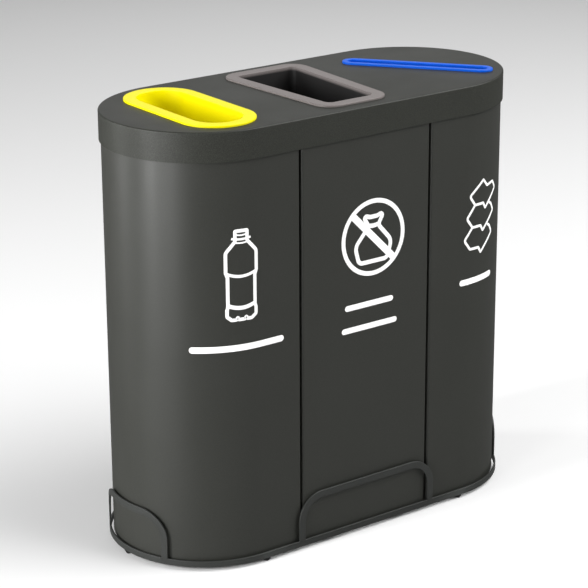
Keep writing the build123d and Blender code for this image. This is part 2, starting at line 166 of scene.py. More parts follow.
def piece(name, shape, material, body, nodes=(), edge=0.0):
    """A finished object from a mesh under construction, riding on a body in place of CAD nodes."""
    for face in shape.faces:
        face.smooth = True
    if not edge:
        for side in shape.edges:
            side.smooth = side.calc_face_angle(0) < math.radians(40)
    mesh = bpy.data.meshes.new(name)
    shape.to_mesh(mesh)
    shape.free()
    mesh.materials.append(material)
    obj = bpy.data.objects.new(name, mesh)
    bpy.context.scene.collection.objects.link(obj)
    if edge:
        easing = obj.modifiers.new("eased edges", "BEVEL")
        easing.width = edge * MM
        easing.segments = 2
        easing.limit_method = "ANGLE"
        easing.angle_limit = math.radians(50)
    obj.modifiers.new("flat faces", "WEIGHTED_NORMAL").keep_sharp = True
    finished = plain_mesh(obj)
    obj.modifiers.clear()
    obj.data = finished
    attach(obj, body)
    if nodes:
        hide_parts(*nodes)
    return obj


def arch(half, foot, top, corner):
    """One side of a loop's bar from foot to foot, its straights divided so that it can be rolled."""
    bends = rounded((-half, foot, 0, 0), (-half, top, corner, ARC_STEPS), (half, top, corner, ARC_STEPS),
                    (half, foot, 0, 0), closed=False)
    points = []
    for a, b in zip(bends, bends[1:]):
        parts = 8 if (b - a).length > 10 else 1
        points += [a.lerp(b, k / parts) for k in range(parts)]
    return points + [bends[-1]]


def band(stations, half_loop, post, low, top, thick, place):
    """Strip with its loop, drawn flat as quads of (along, height), each point set by place(u, z, depth)."""
    shape = bmesh.new()
    strip_top = low + STRIP_HEIGHT
    quads = [((a, low), (b, low), (b, strip_top), (a, strip_top)) for a, b in zip(stations, stations[1:])]
    outer = arch(half_loop, strip_top, top, LOOP_CORNER)
    inner = arch(half_loop - post, strip_top, top - LOOP_BAR, LOOP_CORNER - LOOP_BAR)
    quads += list(zip(outer, outer[1:], inner[1:], inner))
    verts = {}
    for u, z in (corner for quad in quads for corner in quad):
        key = (round(u, 2), round(z, 2))
        if key not in verts:
            verts[key] = [shape.verts.new(Vector(place(u, z, depth)) * MM) for depth in (thick, 0)]
    sheets = [[verts[round(u, 2), round(z, 2)] for u, z in quad] for quad in quads]
    for sheet in sheets:
        shape.faces.new([pair[0] for pair in sheet])
    partner = {outside: inside for outside, inside in verts.values()}
    rims = [edge.verts[:] for edge in shape.edges if len(edge.link_faces) == 1]
    for sheet in sheets:
        shape.faces.new([pair[1] for pair in reversed(sheet)])
    for a, b in rims:
        shape.faces.new((a, b, partner[b], partner[a]))
    bmesh.ops.recalc_face_normals(shape, faces=shape.faces)
    return shape


cradle_coat = powder_coat("anthracite powder coat on strip", "#282927", "#373937", 0.42, gloss=0.5,
                          rub="#7d8280")

strip_low, strip_high = box_mm("front_band")
end_centre = strip_high.x
strip_outer = -strip_low.y
strip_inner = -strip_high.y
band_thick = strip_outer - strip_inner

straight = [-end_centre, -SIDE_LOOP_HALF, LOOP_BAR - SIDE_LOOP_HALF,
            SIDE_LOOP_HALF - LOOP_BAR, SIDE_LOOP_HALF, end_centre]
for name, side in (("front_band", -1), ("rear_band", 1)):
    shape = band(straight, SIDE_LOOP_HALF, LOOP_BAR, strip_low.z, strip_high.z, band_thick,
                 lambda u, z, depth: (u, side * (strip_inner + depth), z))
    piece(name + "_strip", shape, cradle_coat, "cradle", [name], edge=BAND_EDGE)

end_half = strip_outer * math.sin(math.radians(END_LOOP_ANGLE))
end_post = LOOP_BAR * math.cos(math.radians(END_LOOP_ANGLE))
rolled = [strip_outer * math.sin(math.radians(a)) for a in range(-90, 91, ROLL_STEP)]
rolled = [u for u in rolled if not end_half - end_post < abs(u) < end_half]
rolled += [sign * u for sign in (-1, 1) for u in (end_half, end_half - end_post)]


def rolled_round(side):
    """Puts a point of the flat drawing on the round end."""
    def place(u, z, depth):
        angle = math.asin(max(-1.0, min(1.0, u / strip_outer)))
        radius = strip_inner + depth
        return side * (end_centre + radius * math.cos(angle)), radius * math.sin(angle), z
    return place


for name, side in (("right_end_band", 1), ("left_end_band", -1)):
    shape = band(sorted(rolled), end_half, end_post, strip_low.z, strip_high.z, band_thick,
                 rolled_round(side))
    piece(name + "_strip", shape, cradle_coat, "cradle", [name], edge=BAND_EDGE)

# ---------------------------------------------------------------- cradle bars
# A 40 x 4 mm flat bar along the stand and eight short 30 x 4 mm cross bars that carry the bins.
# Sheared hot-rolled steel with its edges dressed, coated together with the bands.

BAR_EDGE = 0.5


def cad_copy(node):
    """A copy of a CAD node's mesh, joined up and with its flat faces in one piece."""
    shape = bmesh.new()
    shape.from_mesh(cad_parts[node].data)
    bmesh.ops.remove_doubles(shape, verts=shape.verts, dist=0.001 * MM)
    bmesh.ops.dissolve_limit(shape, angle_limit=math.radians(0.5), verts=shape.verts, edges=shape.edges)
    return shape


for node in ("long_bar", "cross_bars"):
    piece(node + "_flats", cad_copy(node), cradle_coat, "cradle", [node], edge=BAR_EDGE)

# ---------------------------------------------------------------- cradle welds
# MAG fillet beads where the bars meet the strip, and where the cross bars meet the long bar.
# Each bead is a row of overlapping steel ripples, coated over with the rest.

BEAD_RADIUS = 1.7
BEAD_PITCH = 1.5


def new_tree(name, **inputs):
    """A Geometry Nodes tree with named inputs, and its input node."""
    tree = bpy.data.node_groups.new(name, "GeometryNodeTree")
    tree.interface.new_socket("Geometry", in_out="INPUT", socket_type="NodeSocketGeometry")
    for title, kind in inputs.items():
        tree.interface.new_socket(title.replace("_", " "), in_out="INPUT", socket_type="NodeSocket" + kind)
    tree.interface.new_socket("Material", in_out="INPUT", socket_type="NodeSocketMaterial")
    tree.interface.new_socket("Geometry", in_out="OUTPUT", socket_type="NodeSocketGeometry")
    return tree, add(tree, "NodeGroupInput").outputs


def end_tree(tree, given, geometry):
    """Ends a tree in real geometry that has its material."""
    real = add(tree, "GeometryNodeRealizeInstances", {"Geometry": geometry})
    coated = add(tree, "GeometryNodeSetMaterial", {"Geometry": real, "Material": given["Material"]})
    add(tree, "NodeGroupOutput", {"Geometry": coated})


def grow(tree, points, edges, material, **sizes):
    """Grows a tree on points and edges in millimetres, and gives the plain mesh to build on."""
    base = bpy.data.meshes.new(tree.name)
    base.from_pydata([Vector(p) * MM for p in points], edges, [])
    obj = bpy.data.objects.new(tree.name, base)
    bpy.context.scene.collection.objects.link(obj)
    modifier = obj.modifiers.new(tree.name, "NODES")
    modifier.node_group = tree
    sockets = {item.name: item.identifier for item in tree.interface.items_tree if item.in_out == "INPUT"}
    modifier[sockets["Material"]] = material
    for title, value in sizes.items():
        modifier[sockets[title.replace("_", " ")]] = value
    mesh = plain_mesh(obj)
    bpy.data.objects.remove(obj)
    shape = bmesh.new()
    shape.from_mesh(mesh)
    bmesh.ops.remove_doubles(shape, verts=shape.verts, dist=0.0005 * MM)
    return shape


bead_tree, given = new_tree("weld beads", Radius="Float", Pitch="Float", Seed="Int")
line = add(bead_tree, "GeometryNodeMeshToCurve", {"Mesh": given["Geometry"]})
stops = add(bead_tree, "GeometryNodeResampleCurve", {"Curve": line, "Length": given["Pitch"]},
            mode="LENGTH")
along = add(bead_tree, "GeometryNodeInputTangent")
facing = add(bead_tree, "FunctionNodeAlignEulerToVector", {"Vector": along}, axis="X")
swell = add(bead_tree, "FunctionNodeRandomValue", {"Min": (0.8, 0.9, 0.9), "Max": (1.0, 1.1, 1.1),
                                                   "Seed": given["Seed"]}, data_type="FLOAT_VECTOR")
ripple = add(bead_tree, "GeometryNodeMeshUVSphere", {"Segments": 8, "Rings": 6, "Radius": given["Radius"]})
beads = add(bead_tree, "GeometryNodeInstanceOnPoints", {
    "Points": stops, "Instance": ripple.outputs["Mesh"], "Rotation": facing, "Scale": swell})
end_tree(bead_tree, given, beads)


def runs(lines):
    """Points and edges of several weld lines."""
    points = [p for one in lines for p in one]
    starts = [sum(len(one) for one in lines[:i]) for i in range(len(lines))]
    return points, [(s + k, s + k + 1) for s, one in zip(starts, lines) for k in range(len(one) - 1)]


CROSS_HALF = 15.0
INNER_CROSS_X = 92.0
WELD_STOP = 3.0
BUTT_STOP = 2.0
BUTT_STAND_OFF = 0.8
BAR_END_SWEEP = (-0.08, -0.04, 0.0, 0.04, 0.08)
bar_low, bar_high = box_mm("long_bar")
cross_high = box_mm("cross_bars")[1]
outer_cross_x = cross_high.x - CROSS_HALF
cross_x = [side * x for side in (-1, 1) for x in (INNER_CROSS_X, outer_cross_x)]
weld_lines = []
for x in cross_x:
    for side in (-1, 1):
        reach = CROSS_HALF - WELD_STOP
        for y, z in ((side * strip_inner, bar_high.z), (side * bar_high.y, bar_low.z)):
            weld_lines.append([(x - reach, y, z), (x + reach, y, z)])
for side in (-1, 1):
    weld_lines.append([(side * (end_centre + strip_inner * math.cos(a)), strip_inner * math.sin(a),
                        bar_high.z) for a in BAR_END_SWEEP])
    for front in (-1, 1):
        weld_lines.append([(side * end_centre, front * (strip_inner + BUTT_STAND_OFF), z)
                           for z in (strip_low.z + BUTT_STOP, strip_low.z + STRIP_HEIGHT - BUTT_STOP)])
points, edges = runs(weld_lines)
shape = grow(bead_tree, points, edges, cradle_coat, Radius=BEAD_RADIUS * MM, Pitch=BEAD_PITCH * MM, Seed=4)
piece("cradle_welds", shape, cradle_coat, "cradle")

# ---------------------------------------------------------------- feet
# Six black rubber glides, tapered plugs moulded in one piece and pressed up under the bars.
# The rubber is dull, with a faint moulded grain and floor dust rubbed into it.

FOOT_TOP_RADIUS = 9.0
FOOT_BOTTOM_RADIUS = 6.0
FOOT_EDGE = 0.8


def rubber(name, colour, dust):
    """Moulded rubber, dull with dust in its grain."""
    material = bpy.data.materials.new(name)
    material.use_nodes = True
    tree = material.node_tree
    tree.nodes.clear()
    place = add(tree, "ShaderNodeTexCoord").outputs["Object"]
    grain = add(tree, "ShaderNodeTexNoise", {"Vector": place, "Scale": 1 / (0.8 * MM), "Detail": 4.0})
    smears = add(tree, "ShaderNodeTexNoise", {"Vector": place, "Scale": 1 / (9 * MM), "Detail": 2.0})
    dusty = add(tree, "ShaderNodeMapRange", {"Value": smears, "From Min": 0.45, "From Max": 0.75,
                                             "To Min": 0.0, "To Max": 0.45})
    tone = add(tree, "ShaderNodeMix", {"Factor": dusty, "A": linear(colour), "B": linear(dust)},
               data_type="RGBA")
    dull = add(tree, "ShaderNodeMapRange", {"Value": grain, "To Min": 0.62, "To Max": 0.85})
    bump = add(tree, "ShaderNodeBump", {"Height": grain, "Strength": 0.35, "Distance": 0.08 * MM})
    shader = add(tree, "ShaderNodeBsdfPrincipled", {
        "Base Color": tone.outputs["Result"], "Roughness": dull.outputs[0], "Normal": bump, "IOR": 1.52})
    add(tree, "ShaderNodeOutputMaterial", {"Surface": shader})
    return material


black_rubber = rubber("black moulded rubber", "#161616", "#3b3a37")

pad_tree, given = new_tree("turned pads", Sides="Int", Bottom_Radius="Float", Top_Radius="Float",
                           Height="Float", Edge="Float", Seed="Int")
less = {}
for title in ("Bottom Radius", "Top Radius", "Height"):
    less[title] = add(pad_tree, "ShaderNodeMath", {0: given[title], 1: given["Edge"]}, operation="SUBTRACT")
wall_height = add(pad_tree, "ShaderNodeMath", {0: less["Height"], 1: given["Edge"]}, operation="SUBTRACT")
layers = []
for low_radius, high_radius, depth, lift in (
        (less["Bottom Radius"], given["Bottom Radius"], given["Edge"], None),
        (given["Bottom Radius"], given["Top Radius"], wall_height, given["Edge"]),
        (given["Top Radius"], less["Top Radius"], given["Edge"], less["Height"])):
    cone = add(pad_tree, "GeometryNodeMeshCone", {
        "Vertices": given["Sides"], "Radius Bottom": low_radius, "Radius Top": high_radius, "Depth": depth},
        fill_type="NONE")
    place = add(pad_tree, "ShaderNodeCombineXYZ", {"Z": lift} if lift else {})
    layers.append(add(pad_tree, "GeometryNodeTransform", {
        "Geometry": cone.outputs["Mesh"], "Translation": place}))
for radius, lift in ((less["Bottom Radius"], None), (less["Top Radius"], given["Height"])):
    lid = add(pad_tree, "GeometryNodeMeshCircle", {"Vertices": given["Sides"], "Radius": radius},
              fill_type="NGON")
    place = add(pad_tree, "ShaderNodeCombineXYZ", {"Z": lift} if lift else {})
    layers.append(add(pad_tree, "GeometryNodeTransform", {"Geometry": lid, "Translation": place}))
stack = add(pad_tree, "GeometryNodeJoinGeometry", {"Geometry": layers})
spin = add(pad_tree, "FunctionNodeRandomValue", {"Min": (0.0, 0.0, 0.0), "Max": (0.0, 0.0, math.pi),
                                                 "Seed": given["Seed"]}, data_type="FLOAT_VECTOR")
pads = add(pad_tree, "GeometryNodeInstanceOnPoints", {
    "Points": given["Geometry"], "Instance": stack, "Rotation": spin})
end_tree(pad_tree, given, pads)


def turned(points, material, sides, bottom, top, height, edge):
    """Turned pads or hexagons standing on points, with eased edges."""
    shape = grow(pad_tree, points, [], material, Sides=sides, Bottom_Radius=bottom * MM, Top_Radius=top * MM,
                 Height=height * MM, Edge=edge * MM, Seed=7)
    bmesh.ops.recalc_face_normals(shape, faces=shape.faces)
    return shape


foot_inset = strip_outer - FOOT_TOP_RADIUS
foot_spots = [(side * (end_centre + foot_inset), 0, 0) for side in (-1, 1)]
foot_spots += [(x, side * foot_inset, 0) for x in (-outer_cross_x, outer_cross_x) for side in (-1, 1)]
shape = turned(foot_spots, black_rubber, 32, FOOT_BOTTOM_RADIUS, FOOT_TOP_RADIUS, strip_low.z, FOOT_EDGE)
piece("rubber_glides", shape, black_rubber, "cradle", ["feet"])

# ---------------------------------------------------------------- end bins
# Two half-round bins in 1.5 mm sheet steel: a rolled wrap turned in at its two long edges, a flat
# sheet spot-welded behind those returns, a floor pan and an angle rim. Coated in anthracite.

SHEET = 1.5
SLIP = 0.1
BEND = 4.0
RETURN = 22.0
SHEET_EDGE = 0.35
FLOOR_LIP = 18.0
RIM_FLANGE = 14.0
RIM_LEG = 20.0
RIM_SHEET = 2.0
ROUND_STEPS = 45
BEND_STEPS = 6

bin_coat = powder_coat("anthracite powder coat on sheet", "#2c2d29", "#3b3c38", 0.40, gloss=0.54, peel=0.22)

wrap_low, wrap_high = box_mm("right_bin_wrap")
bin_radius = wrap_high.y
side_x = wrap_low.x


def loft(outline, section, ring=True, closed=True):
    """A body whose section of (inset, height) points follows a plan outline drawn at each inset."""
    shape = bmesh.new()
    rows = [[shape.verts.new((x * MM, y * MM, z * MM)) for x, y in outline(inset)] for inset, z in section]
    count = len(rows[0])
    for a, b in zip(rows, rows[1:] + (rows[:1] if closed else [])):
        for i in range(count if ring else count - 1):
            j = (i + 1) % count
            shape.faces.new((a[i], a[j], b[j], b[i]))
    ends = []
    if not ring:
        ends = [[row[0] for row in rows], [row[-1] for row in rows]]
    elif not closed:
        ends = [rows[0], rows[-1]]
    for end in ends:
        shape.faces.new(end)
    bmesh.ops.recalc_face_normals(shape, faces=shape.faces)
    return shape


def eased(*corners, radius=SHEET_EDGE, steps=3):
    """A closed section whose corners, (inset, height) or (inset, height, radius), are eased."""
    return rounded(*[(c[0], c[1], c[2] if len(c) > 2 else radius, steps) for c in corners])


def mirrored(shape, across=(-1, 1, 1)):
    """A mirrored copy that still faces outwards."""
    copy = shape.copy()
    bmesh.ops.scale(copy, vec=across, verts=copy.verts)
    bmesh.ops.recalc_face_normals(copy, faces=copy.faces)
    return copy


def wrap_path(inset):
    """The wrap's open plan line from one return to the other."""
    radius, x, bend = bin_radius - inset, side_x + inset, BEND - inset
    return rounded((x, RETURN - bin_radius, 0, 0), (x, -radius, bend, BEND_STEPS),
                   (end_centre + radius, -radius, radius, ROUND_STEPS),
                   (end_centre + radius, radius, radius, ROUND_STEPS),
                   (x, radius, bend, BEND_STEPS), (x, bin_radius - RETURN, 0, 0), closed=False)


def half_round(wall_inset, side_inset, bend=BEND):
    """The plan inside the wrap, as a function of a further inset."""
    def outline(inset):
        radius, x = bin_radius - wall_inset - inset, side_x + side_inset + inset
        return rounded((x, -radius, bend, BEND_STEPS), (end_centre + radius, -radius, radius, ROUND_STEPS),
                       (end_centre + radius, radius, radius, ROUND_STEPS), (x, radius, bend, BEND_STEPS))
    return outline


bin_low, bin_high = wrap_low.z, wrap_high.z
wall_section = eased((0, bin_low), (SHEET, bin_low), (SHEET, bin_high), (0, bin_high))
pan_section = rounded((6, bin_low, 0, 0), (0, bin_low, 1.8, 5), (0, bin_low + FLOOR_LIP, 0.4, 3),
                      (SHEET, bin_low + FLOOR_LIP, 0.4, 3), (SHEET, bin_low + SHEET, 0.8, 3),
                      (6, bin_low + SHEET, 0, 0), closed=False)
rim_section = eased((0, bin_high - RIM_LEG), (0, bin_high, 1.6), (RIM_FLANGE, bin_high, 0.5),
                    (RIM_FLANGE, bin_high - RIM_SHEET, 0.5), (RIM_SHEET, bin_high - RIM_SHEET, 0.8),
                    (RIM_SHEET, bin_high - RIM_LEG), radius=0.4)
inside_plan = half_round(SHEET + SLIP, 2 * SHEET + SLIP)
end_parts = {
    "bin_wrap": loft(wrap_path, wall_section, ring=False),
    "bin_floor": loft(inside_plan, pan_section, closed=False),
    "bin_rim": loft(inside_plan, rim_section),
}
for part, shape in end_parts.items():
    left = mirrored(shape)
    for side, made in (("right", shape), ("left", left)):
        piece(f"{side}_{part}_sheet", made, bin_coat, side + "_bin", [f"{side}_{part}"])
for side in ("right", "left"):
    piece(side + "_bin_side_sheet", cad_copy(side + "_bin_side"), bin_coat, side + "_bin",
          [side + "_bin_side"], edge=SHEET_EDGE)

# ---------------------------------------------------------------- bag rings and their brackets
# A 6 mm round wire hoop in each bin holds the bag. It lies on four small bent brackets welded to
# the walls. Bright zinc-plated steel, with a faint blue-white bloom.

WIRE_STANDOFF = 7.0
WIRE_CORNER = 16.0
BRACKET_WIDTH = 20.0
BRACKET_LEG = 18.0
BRACKET_SHEET = 2.0


def zinc_plate(name, colour, bloom):
    """Electroplated zinc: metallic, with cloudy bloom and fine drawn scratches."""
    material = bpy.data.materials.new(name)
    material.use_nodes = True
    tree = material.node_tree
    tree.nodes.clear()
    place = add(tree, "ShaderNodeTexCoord").outputs["Object"]
    clouds = add(tree, "ShaderNodeTexNoise", {"Vector": place, "Scale": 1 / (6 * MM), "Detail": 5.0})
    scratches = add(tree, "ShaderNodeTexNoise", {"Vector": place, "Scale": 1 / (0.5 * MM), "Detail": 2.0})
    tone = add(tree, "ShaderNodeMix", {"Factor": clouds, "A": linear(colour), "B": linear(bloom)},
               data_type="RGBA")
    dull = add(tree, "ShaderNodeMapRange", {"Value": clouds, "To Min": 0.22, "To Max": 0.46})
    bump = add(tree, "ShaderNodeBump", {"Height": scratches, "Strength": 0.12, "Distance": 0.03 * MM})
    shader = add(tree, "ShaderNodeBsdfPrincipled", {
        "Base Color": tone.outputs["Result"], "Roughness": dull.outputs[0], "Normal": bump,
        "Metallic": 1.0})
    add(tree, "ShaderNodeOutputMaterial", {"Surface": shader})
    return material


zinc = zinc_plate("zinc-plated steel", "#b9bcc0", "#8e9499")

wire_tree, given = new_tree("bent wire", Wire_Radius="Float")
line = add(wire_tree, "GeometryNodeMeshToCurve", {"Mesh": given["Geometry"]})
wire_round = add(wire_tree, "GeometryNodeCurvePrimitiveCircle", {"Resolution": 16,
                                                                 "Radius": given["Wire Radius"]})
wire = add(wire_tree, "GeometryNodeCurveToMesh", {"Curve": line, "Profile Curve": wire_round})
end_tree(wire_tree, given, wire)


def wire_hoop(plan, height, radius):
    """Round wire bent along a closed plan line."""
    count = len(plan)
    shape = grow(wire_tree, [(x, y, height) for x, y in plan], [(i, (i + 1) % count) for i in range(count)],
                 zinc, Wire_Radius=radius * MM)
    bmesh.ops.recalc_face_normals(shape, faces=shape.faces)
    return shape


def brackets(spots, shelf_top):
    """Bent brackets with their upright on a wall at (x, y) and their shelf turned inwards."""
    whole = bmesh.new()
    outline = eased((0, -BRACKET_LEG), (0, 0, 1.6), (reach, 0, 0.6), (reach, -BRACKET_SHEET, 0.6),
                    (BRACKET_SHEET, -BRACKET_SHEET, 0.8), (BRACKET_SHEET, -BRACKET_LEG), radius=0.5)
    for x, y, turn in spots:
        standing = Matrix.Translation((x * MM, y * MM, shelf_top * MM))
        turning = standing @ Matrix.Rotation(math.radians(turn), 4, "Z")
        ends = [[whole.verts.new(turning @ Vector((u * MM, v * MM, z * MM))) for u, z in outline]
                for v in (-BRACKET_WIDTH / 2, BRACKET_WIDTH / 2)]
        count = len(outline)
        for end in ends:
            whole.faces.new(end)
        for i in range(count):
            j = (i + 1) % count
            whole.faces.new((ends[0][i], ends[0][j], ends[1][j], ends[1][i]))
    bmesh.ops.recalc_face_normals(whole, faces=whole.faces)
    return whole


ring_low, ring_high = box_mm("middle_bag_ring")
wire_radius = (ring_high.z - ring_low.z) / 2
ring_height = (ring_high.z + ring_low.z) / 2
reach = WIRE_STANDOFF + wire_radius
bin_wall = bin_radius - SHEET
sagitta = bin_wall - math.sqrt(bin_wall ** 2 - (BRACKET_WIDTH / 2) ** 2)
quarter_x = (side_x + end_centre) / 2
end_hoop = wire_hoop(half_round(SHEET + WIRE_STANDOFF, 2 * SHEET + SLIP + WIRE_STANDOFF, WIRE_CORNER)(0),
                     ring_height, wire_radius)
end_brackets = brackets([(end_centre + bin_wall - sagitta, 0, 180), (quarter_x, -bin_wall, 90),
                         (quarter_x, bin_wall, -90), (side_x + 2 * SHEET, 0, 0)], ring_low.z)
for part, shape in (("bag_ring", end_hoop), ("ring_brackets", end_brackets)):
    left = mirrored(shape)
    for side, made in (("right", shape), ("left", left)):
        piece(f"{side}_{part}_steel", made, zinc, side + "_bin", [f"{side}_{part}"])

# ---------------------------------------------------------------- middle bin
# A square bin of the same sheet: front and back panels turned in at their long edges, two flat
# sides spot-welded behind the returns, a floor pan and an angle rim.

half_width = box_mm("middle_bin_front")[1].x


def panel_path(inset):
    """The front panel's open plan line, from return to return."""
    x, y, bend = half_width - inset, inset - bin_radius, BEND - inset
    return rounded((-x, RETURN - bin_radius, 0, 0), (-x, y, bend, BEND_STEPS), (x, y, bend, BEND_STEPS),
                   (x, RETURN - bin_radius, 0, 0), closed=False)


def square_plan(wall_inset, side_inset, bend=BEND):
    """The plan inside the panels, as a function of a further inset."""
    def outline(inset):
        x, y = half_width - side_inset - inset, bin_radius - wall_inset - inset
        return rounded(*[(i * x, j * y, bend, BEND_STEPS) for i, j in SQUARE])
    return outline


front = loft(panel_path, wall_section, ring=False)
rear = mirrored(front, (1, -1, 1))
inside_plan = square_plan(SHEET + SLIP, 2 * SHEET + SLIP)
middle_parts = {"front": front, "rear": rear, "floor": loft(inside_plan, pan_section, closed=False),
                "rim": loft(inside_plan, rim_section)}
for part, shape in middle_parts.items():
    piece(f"middle_bin_{part}_sheet", shape, bin_coat, "middle_bin",
          ["middle_bin_" + part])
for side in ("left", "right"):
    node = f"middle_bin_{side}_side"
    piece(node + "_sheet", cad_copy(node), bin_coat, "middle_bin", [node],
          edge=SHEET_EDGE)
hoop = wire_hoop(square_plan(SHEET + WIRE_STANDOFF, 2 * SHEET + SLIP + WIRE_STANDOFF, WIRE_CORNER)(0),
                 ring_height, wire_radius)
piece("middle_bag_ring_steel", hoop, zinc, "middle_bin", ["middle_bag_ring"])
inner_side = half_width - 2 * SHEET
shape = brackets([(0, -bin_wall, 90), (0, bin_wall, -90), (-inner_side, 0, 0), (inner_side, 0, 180)],
                 ring_low.z)
piece("middle_ring_brackets_steel", shape, zinc, "middle_bin",
      ["middle_ring_brackets"])

# ---------------------------------------------------------------- labels
# Pictograms cut from matt white vinyl and stuck on the front of the bins: a bottle, a ringed and
# struck-out sack, and three sheets of paper. A plain rule stands under each in place of a word.

VINYL_BACK = 0.03
VINYL_FRONT = 0.25
VINYL_OVERLAP = 0.27
VINYL_STRIKE = 0.29
FILM_STEP = 4.0
RULE_HEIGHT = 13


def vinyl(name, colour, shade):
    """Cast vinyl film: matt white, very slightly yellowed in patches, with a fine calendered grain."""
    material = bpy.data.materials.new(name)
    material.use_nodes = True
    tree = material.node_tree
    tree.nodes.clear()
    place = add(tree, "ShaderNodeTexCoord").outputs["Object"]
    grain = add(tree, "ShaderNodeTexNoise", {"Vector": place, "Scale": 1 / (1.5 * MM), "Detail": 3.0})
    patches = add(tree, "ShaderNodeTexNoise", {"Vector": place, "Scale": 1 / (30 * MM), "Detail": 2.0})
    tone = add(tree, "ShaderNodeMix", {"Factor": patches, "A": linear(colour), "B": linear(shade)},
               data_type="RGBA")
    bump = add(tree, "ShaderNodeBump", {"Height": grain, "Strength": 0.1, "Distance": 0.02 * MM})
    shader = add(tree, "ShaderNodeBsdfPrincipled", {
        "Base Color": tone.outputs["Result"], "Roughness": 0.45, "Normal": bump, "IOR": 1.46})
    add(tree, "ShaderNodeOutputMaterial", {"Surface": shader})
    return material


white_vinyl = vinyl("matt white vinyl film", "#ffffff", "#f1f1ee")


def on_front(s, z, out):
    """A point of the bins' front: s runs along the flat, then round the ends, out stands off the sheet."""
    side = -1 if s < 0 else 1
    past = max(0.0, abs(s) - end_centre)
    angle, radius = past / bin_radius, bin_radius + out
    return Vector((side * (abs(s) - past + radius * math.sin(angle)), -radius * math.cos(angle), z)) * MM


def lay_film(shape, left, right, closed=False, front=VINYL_FRONT):
    """Film between two lines of (s, z) points, with a face, a back and cut edges."""
    rows = [[shape.verts.new(on_front(s, z, out)) for s, z in line]
            for line, out in ((left, front), (right, front), (right, VINYL_BACK), (left, VINYL_BACK))]
    count = len(left)
    for a, b in zip(rows, rows[1:] + rows[:1]):
        for i in range(count if closed else count - 1):
            j = (i + 1) % count
            shape.faces.new((a[i], a[j], b[j], b[i]))
    if not closed:
        for i in (0, count - 1):
            shape.faces.new([row[i] for row in rows])


def stroke(shape, points, width, closed=False, front=VINYL_FRONT):
    """A cut line of even width along (s, z) points, in steps short enough to follow the wall."""
    points = [Vector(p) for p in points]
    pairs = list(zip(points, points[1:] + points[:1] if closed else points[1:]))
    line = []
    for a, b in pairs:
        parts = max(1, math.ceil((b - a).length / FILM_STEP))
        line += [a.lerp(b, k / parts) for k in range(parts)]
    if not closed:
        line.append(points[-1])
    count = len(line)
    sides = ([], [])
    for i, p in enumerate(line):
        before = line[i - 1] if closed or i else 2 * p - line[1]
        after = line[(i + 1) % count] if closed or i < count - 1 else 2 * p - line[-2]
        a, b = (p - before).normalized(), (after - p).normalized()
        across = Vector((-(a + b).y, (a + b).x)).normalized()
        reach = width / 2 / max(0.4, across.dot(Vector((-a.y, a.x))))
        for side, sign in zip(sides, (1, -1)):
            side.append(p + across * reach * sign)
    lay_film(shape, *sides, closed=closed, front=front)


def rule(shape, s_low, s_high, z, height):
    """A plain rule with round ends."""
    half = height / 2
    steps = max(24, int((s_high - s_low) / 4))
    top, bottom = [], []
    for k in range(steps + 1):
        s = s_low + (s_high - s_low) * (1 - math.cos(math.pi * k / steps)) / 2
        end = min(s - s_low, s_high - s, half)
        rise = max(0.02, math.sqrt(max(0.0, half ** 2 - (half - end) ** 2)))
        top.append((s, z + rise))
        bottom.append((s, z - rise))
    lay_film(shape, top, bottom)


def disc(radius, centre, start=0.0, end=360.0, steps=96):
    """Points round a centre between two angles."""
    angles = [math.radians(start + (end - start) * k / steps) for k in range(steps + 1)]
    return [(centre[0] + radius * math.cos(a), centre[1] + radius * math.sin(a)) for a in angles]


bottle = bmesh.new()
BOTTLE_X = -302.0
right_half = [(12.5, 704.5, 1.5, 4), (12.5, 684.0, 4.0, 4), (32.0, 662.0, 10.0, 6), (32.0, 622.0, 4.0, 4),
              (28.5, 613.0, 4.0, 4), (28.5, 552.0, 3.0, 4), (30.5, 547.0, 3.0, 4), (30.5, 533.0, 4.0, 4),
              (21.0, 525.5, 4.0, 4), (12.0, 525.5, 0.8, 2), (9.0, 530.0, 0.8, 2), (6.0, 525.5, 0.8, 2)]
body_line = [(BOTTLE_X + x, z, r, n) for x, z, r, n in right_half]
body_line += [(BOTTLE_X - x, z, r, n) for x, z, r, n in reversed(right_half)]
stroke(bottle, rounded(*body_line), 7.0, closed=True)
bottle_lines = ((10.0, 697.0, 1.5, 3.0), (20.0, 690.0, 2.5, 4.5), (18.0, 682.5, 2.5, 3.0),
                (30.0, 620.0, 7.0, 6.0), (27.0, 555.0, 6.0, 8.0))
for half, z, dip, width in bottle_lines:
    stroke(bottle, [(BOTTLE_X + half * k / 8, z - dip * (1 - (k / 8) ** 2)) for k in range(-8, 9)], width,
           front=VINYL_OVERLAP)
rule(bottle, -408, -206, 467.5, RULE_HEIGHT)
bmesh.ops.recalc_face_normals(bottle, faces=bottle.faces)
piece("bottle_label_film", bottle, white_vinyl, "left_bin", ["left_label"])

RING_CENTRE = Vector((17.0, 631.0))
RING_RADIUS = 75.3
RING_BAND = 9.4
STRIKE_WIDTH = 15.0
SACK_LINE = 9.0
TIE_HALF = 16
TIE_HEIGHT = 27
TIE_SAG = 3
struck = bmesh.new()
stroke(struck, disc(RING_RADIUS, RING_CENTRE)[:-1], RING_BAND, closed=True)
diagonal = Vector((1, -1)).normalized() * (RING_RADIUS - RING_BAND / 3)
stroke(struck, [RING_CENTRE - diagonal, RING_CENTRE + diagonal], STRIKE_WIDTH, front=VINYL_STRIKE)
right_half = [(36, -50, 12, 6), (46, -14, 20, 6), (12, 24, 10, 5), (27, 49, 4, 4), (9, 43, 3, 3)]
sack_line = [(RING_CENTRE.x + x, RING_CENTRE.y + z, r, n) for x, z, r, n in right_half]
sack_line += [(RING_CENTRE.x - x, RING_CENTRE.y + z, r, n) for x, z, r, n in reversed(right_half)]
stroke(struck, rounded(*sack_line), SACK_LINE, closed=True)
